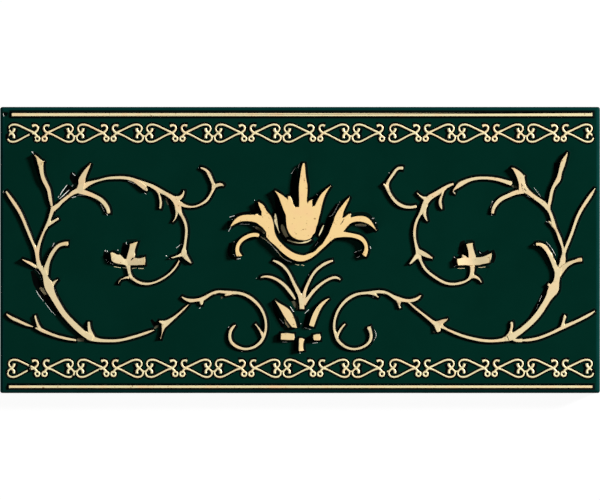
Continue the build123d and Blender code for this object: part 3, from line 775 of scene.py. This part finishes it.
fleckLook = {
    "radius": 0.15 * mm,
    "faintRadius": 0.065 * mm,
    "slitRadius": 0.3 * mm,
    "slitSunk": 0.15 * mm,
    "endShare": 0.6,  # of the radius, at both ends
    "steps": 4,
    "sides": 1,
    "seenFrom": 1.0,  # the height in metres that the face is looked at from, to lay a fleck on it
}
glintStreaks = {  # columns and rows of painted glints: pale streaks beside the strokes that stand in for highlights on the glaze
    "leftBudTip": [(32.1, 151.7), (34, 154.1)],
    "besideLeftFork": [(72.7, 173.2), (75.6, 176.1)],
    "leftVineOuter": [(60.4, 195.2), (63, 190.8), (67.6, 184.9)],
    "leftVineOuterEnd": [(58.4, 197.5), (59.6, 196)],
    "leftVineInner": [(59.9, 198.9), (64.4, 194.8), (69.2, 190)],
    "underLeftFork": [(72.2, 197.8), (76.6, 196.6)],
    "underLeftForkRight": [(78.5, 195.2), (84.2, 195)],
    "leftHookInner": [(101, 203.8), (104.8, 211.5)],
    "leftHookEnd": [(106.2, 213.9), (108.1, 215.3)],
    "leftArcBarbEnd": [(145, 193), (146, 194)],
    "underLeftArc": [(128.2, 180.9), (135.9, 184.2)],
    "leftOuterStemTop": [(3.3, 190.9), (4.3, 193.3)],
    "leftInnerHook": [(52.2, 247.4), (54.5, 243)],
    "leftFlowerTop": [(126.4, 242.2), (126.7, 244.6)],
    "leftFlowerSpeck1": [(105.4, 250.2), (105.6, 251.4)],
    "leftFlowerSpeck2": [(107.4, 250.6), (107.8, 252)],
    "leftFlowerNotch": [(117.5, 250), (118.7, 250.8)],
    "leftFlowerSpeck3": [(106.3, 259.6), (106.6, 260.8)],
    "leftFlowerSpeck4": [(107.6, 262.2), (108.6, 262)],
    "underLeftFlower": [(110.2, 262.8), (113.6, 264.2)],
    "topLineEnd": [(3.3, 112.4), (4.3, 116.3)],
    "leftCurlEnd": [(198.4, 167.7), (199.2, 168.5)],
    "leftInnerStem": [(176.3, 248.1), (181.9, 243.8)],
    "leftInnerBarb1": [(166, 255.2), (167.2, 256.4)],
    "leftInnerBarb2": [(169.6, 258.6), (170.6, 259.2)],
    "leftScrollBarb": [(199.5, 308.4), (200.5, 307.6)],
    "leftScrollEnd": [(228.3, 327.2), (229.3, 326.4)],
    "leftScrollFoot": [(241.4, 351), (242.4, 351.6)],
    "spear1": [(291.3, 173.9), (295.4, 167.8)],
    "spear2": [(298, 168.3), (299.5, 164.2)],
    "cupRightTip": [(317, 194.3), (317.7, 195.4)],
    "rightLeafHorn": [(328.6, 216.7), (332.1, 215.2), (336, 209), (340.3, 201.4)],
    "leftLeafHorn": [(254.2, 199.7), (254.9, 200.8)],
    "leftLeafBack1": [(229.6, 217.2), (234.7, 215.7)],
    "leftLeafBack2": [(232.2, 219.3), (233.2, 219.3)],
    "leftLeafTip": [(228.6, 231.5), (231.1, 226.9)],
    "underLeftLeaf1": [(239.8, 224.2), (249.5, 224.2)],
    "underLeftLeaf2": [(253.1, 226.4), (258.7, 230)],
    "leftTendrilBack": [(233.9, 241.3), (234.7, 242.3)],
    "leftLeafSliver1": [(267.4, 241.4), (270.4, 243.8), (275.4, 249.4), (279.8, 254.4)],
    "leftLeafSliver2": [(283.4, 258.2), (287.6, 260.6), (291.6, 262)],
    "leftTendrilEnd1": [(233.2, 254), (235.2, 256)],
    "leftTendrilEnd2": [(236.7, 259.1), (240.8, 258.6)],
    "underCup": [(286.7, 238.7), (290.8, 240.2)],
    "rightLeafStem": [(314.8, 246.3), (317.9, 242.2)],
    "underRightLeaf": [(354.6, 225.6), (366.4, 226)],
    "rightLeafBack1": [(371.9, 218.3), (374, 218.8)],
    "rightLeafBack2": [(375.3, 222.5), (375.9, 223.5)],
    "rightTendrilEnd1": [(354.6, 252.2), (361.2, 250)],
    "rightTendrilEnd2": [(356.6, 257.5), (360, 256)],
    "rightTendrilBack": [(369.9, 245.8), (370.4, 248.9)],
    "sprayRight": [(308.5, 274.5), (309.1, 275.5)],
    "sprayFootLeft": [(290, 306.3), (293.8, 311.9)],
    "sprayFootRight": [(305, 313.1), (308.8, 309.4)],
    "betweenFootLeaves": [(300.2, 323.4), (301, 324.2)],
    "footLeafRight": [(304.4, 327.5), (310.6, 329.4)],
    "footLeafLeft": [(279.6, 318.3), (283.8, 323.5)],
    "underLeftBlock": [(282.5, 341.9), (287.2, 342)],
    "underRightBlock": [(312.5, 343.1), (317.5, 342.5)],
    "underPeg": [(299.5, 353.1), (300.5, 353.1)],
    "rightCurl": [(388.7, 173.1), (389.7, 173.1)],
    "rightArcJoint": [(453.2, 192.4), (454.2, 193)],
    "underRightFork": [(526.6, 195.5), (530.1, 197.6)],
    "rightHook": [(490.1, 208.1), (492.2, 201.1)],
    "rightHookEnd": [(491, 215), (492, 215.4)],
    "rightVineBarb": [(545.6, 221.5), (548.4, 222.2)],
    "rightInnerHook": [(533.2, 244.5), (534, 245.3)],
    "rightInnerStem": [(409, 263.4), (410, 263.8)],
    "rightFlowerSpeck": [(453.6, 256.9), (454.4, 257.7)],
    "rightFlowerNotch": [(479.2, 252.2), (480.4, 253.4)],
    "underRightFlower": [(453.4, 266.6), (456.2, 265.2)],
    "rightTrunk1": [(541.4, 295.1), (538.9, 301.5)],
    "rightTrunk2": [(537.7, 304.5), (535.7, 309.2)],
    "rightScrollBarb": [(399.2, 306), (400, 306.8)],
    "rightScroll": [(372.7, 296.5), (373.5, 297.3)],
}
faintGlintStreaks = {  # the same for painted glints that show only just
    "besideLeftFork": [(69.6, 189.4), (73.8, 184.5)],
    "leftTrunk1": [(36.4, 290.6), (41, 297.4), (44, 301)],
    "leftTrunk2": [(45.6, 303), (50, 309), (56.4, 315.6)],
    "rightFork1": [(533.4, 187.6), (536.6, 191.6)],
    "rightFork2": [(537, 192.2), (540, 196.6)],
    "rightInnerHook": [(546, 242.2), (551, 248), (555, 255.4)],
    "leftSprayTip": [(256, 278.2), (257.6, 277.8)],
    "rightScrollEnd": [(374.6, 330), (376, 335), (373.6, 340.6)],
    "leftTrunkTop": [(34.6, 268.6), (40, 273.6), (41.8, 280)],
}
gildingRuns = {  # the same for gilding that has run down off the crests
    "leftLeafStem": [(260.2, 236.6), (265.8, 239.7), (278.1, 251.9), (282.1, 257), (291.3, 262.1)],
    "underBowLeft": [(294.9, 264.2), (299, 265.2)],
    "underBowRight": [(301.6, 264.9), (304.2, 265.7)],
    "leftFlower1": [(114.4, 266.6), (121, 267.8)],
    "leftFlower2": [(123, 267.4), (127.4, 268)],
    "leftFlower3": [(132.4, 268.6), (137, 267.8)],
    "leftFlower4": [(138.6, 268.4), (144, 268.6)],
    "rightFlower1": [(457.4, 268.4), (464.4, 268.4)],
    "rightFlower2": [(478.2, 267.6), (485.2, 267)],
}
slits = {  # the same for slits and pits in the gilding
    "rightLeafCleft1": [(341.5, 223), (344, 219)],
    "leftFlowerFold": [(135.9, 255.3), (133.4, 258.2), (131.4, 260.4)],
    "rightFork1": [(522, 185), (522.3, 186.2)],
    "rightFork2": [(521.4, 188), (522, 189)],
    "rightFork3": [(522.6, 190.4), (522.2, 191.4)],
    "rightFork4": [(521, 183.4), (521.4, 187.4)],
    "rightFork5": [(523.4, 188.6), (525.8, 191)],
    "rightLeafCleft2": [(340.4, 224.6), (343, 221.4)],
    "rightLeafCleft3": [(346.6, 214.6), (347.6, 217.4)],
}


def makeFlecks(name, lines, radius, sunk, material):
    bpy.ops.curve.primitive_bezier_curve_add()
    made = bpy.context.object
    made.name = name
    made.data.splines.clear()
    for line in lines.values():
        places = [surfaceAt(*point) for point in line]
        spline = made.data.splines.new("BEZIER")
        spline.bezier_points.add(len(places) - 1)
        for point, place in zip(spline.bezier_points, places):
            point.co = place - Vector((0, 0, sunk))
            point.handle_left_type = point.handle_right_type = "AUTO"
        spline.bezier_points[0].radius = fleckLook["endShare"]
        spline.bezier_points[-1].radius = fleckLook["endShare"]
        spline.resolution_u = fleckLook["steps"]
    made.data.bevel_depth = radius
    made.data.bevel_resolution = fleckLook["sides"]
    made.data.use_fill_caps = True
    pickOnly(made)
    bpy.ops.object.convert(target="MESH")
    made = bpy.context.object
    made.data.materials.clear()
    made.data.materials.append(material)
    bpy.ops.object.shade_smooth()
    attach(made, "root")


makePatches("gildingPatches", gildingSpread, patchLook["flattened"], groundHeight, gold)
# painted shade: gilding patches in their shaded olive tone
makePatches("shadedGildingPatches", shadedGildingSpread, patchLook["flattened"], groundHeight, shadedGilding)
makePatches("gildedSeam", seams, patchLook["flattened"], crestHeight, gold)
# painted shadows: dark sheets laid on the ground beside the relief
makePatches("paintedShadowSheets", paintedShadows, patchLook["shadeFlattened"], groundHeight, pooledGlazeAndShade)
# painted glints
makeFlecks("glintFlecks", glintStreaks, fleckLook["radius"], 0, paintedGlint)
makeFlecks("faintGlintFlecks", faintGlintStreaks, fleckLook["faintRadius"], 0, paintedGlint)
makeFlecks("gildingFlecks", gildingRuns, fleckLook["radius"], 0, gold)
makeFlecks("glazeFlecks", slits, fleckLook["slitRadius"], fleckLook["slitSunk"], pooledGlazeAndShade)
print("flecks made")

studio = {
    "floorSize": 6.0,
    "floorWhite": 0.94,  # the rest of its white comes from the lamps, so that the tile's shadow stays
    "floorRoughness": 0.9,
    "keyFrom": Vector((2.08, 0.85, 1.08)),
    "keySize": 0.40,
    "keyPower": 147.0,
    "fillFrom": Vector((-0.7, -0.6, 0.5)),
    "fillSize": 0.5,
    "fillPower": 3.6,
    "worldLevel": 0.012,
    "lens": 300.0,
    "sensor": 36.0,
    "columnsCut": 0.5,  # the face all but fills the frame, which leaves out half a column
}


def makeFloor():
    bpy.ops.mesh.primitive_plane_add(size=studio["floorSize"], location=(0, 0, tileLow.z))
    floor = bpy.context.object
    floor.name = "floor"
    material, nodes, links, shader = newMaterial("paleFloor")
    lit = 1 - studio["floorWhite"]
    shader.inputs["Base Color"].default_value = (lit, lit, lit, 1)
    shader.inputs["Roughness"].default_value = studio["floorRoughness"]
    path = addNode(nodes, "ShaderNodeLightPath")
    shown = path.outputs["Is Camera Ray"]
    for kind in ("Is Glossy Ray", "Is Transmission Ray"):
        either = addNode(nodes, "ShaderNodeMath", operation="MAXIMUM")
        links.new(shown, either.inputs[0])
        links.new(path.outputs[kind], either.inputs[1])
        shown = either.outputs["Value"]
    white = studio["floorWhite"]
    shader.inputs["Emission Color"].default_value = (white, white, white, 1)
    links.new(shown, shader.inputs["Emission Strength"])
    floor.data.materials.append(material)


def makeLamp(name, place, size, power):
    bpy.ops.object.light_add(type="AREA", location=place)
    lamp = bpy.context.object
    lamp.name = name
    lamp.data.size = size
    lamp.data.energy = power
    lamp.rotation_euler = (-place).to_track_quat("-Z", "Y").to_euler()


def makeCamera():
    x, y = onFace(photo["width"] / 2, photo["height"] / 2)
    distance = (photo["width"] - studio["columnsCut"]) * square * studio["lens"] / studio["sensor"]
    bpy.ops.object.camera_add(location=(x, y, rimZ + distance), rotation=(0, 0, 0))
    camera = bpy.context.object
    camera.data.lens = studio["lens"]
    camera.data.sensor_width = studio["sensor"]
    camera.data.sensor_fit = "HORIZONTAL"
    bpy.context.scene.camera = camera


def makeWorld():
    world = bpy.data.worlds.new("studio")
    bpy.context.scene.world = world
    world.use_nodes = True
    sky = world.node_tree.nodes["Background"]
    sky.inputs["Color"].default_value = (1, 1, 1, 1)
    sky.inputs["Strength"].default_value = studio["worldLevel"]


makeFloor()
makeLamp("key", studio["keyFrom"], studio["keySize"], studio["keyPower"])
makeLamp("fill", studio["fillFrom"], studio["fillSize"], studio["fillPower"])
makeWorld()
makeCamera()
bpy.context.scene.view_settings.view_transform = "Standard"
print("stage made")
